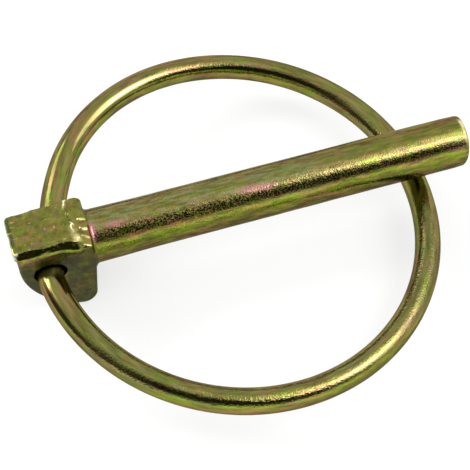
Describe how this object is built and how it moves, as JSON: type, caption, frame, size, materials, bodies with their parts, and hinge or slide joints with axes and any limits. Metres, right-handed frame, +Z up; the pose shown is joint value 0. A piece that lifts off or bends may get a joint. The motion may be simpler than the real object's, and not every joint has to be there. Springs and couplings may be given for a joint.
{
  "type": "lynch pin",
  "caption": "Quick-release retaining pin: a round shank with a forged eye head, and a ring of round spring wire hinged in the head that swings over the tip and lies across the shank.",
  "frame": {"origin": "on the shank's axis, in the plane of the shoulder that stops the pin", "axes": "+X along the shank to its tip, +Z up through the head's flat top, the closed ring's far side under the shank"},
  "size_m": [0.0535, 0.0482, 0.013],
  "materials": {
    "pin": "yellow-passivated zinc plate on forged steel: olive gold with pink, lime and brown iridescence, semi-gloss",
    "ring": "yellow-passivated zinc plate on drawn spring wire: olive gold with pink and lime iridescence, semi-gloss"
  },
  "bodies": {
    "pin": {"pin": "pin"},
    "ring": {"ring": "ring"}
  },
  "joints": [
    {"name": "ring_hinge", "type": "hinge", "parent": "pin", "child": "ring", "pos_m": [-0.0045, 0, -0.00075], "axis": [0.2419, 0.9703, 0], "range_deg": [0, 345]}
  ]
}
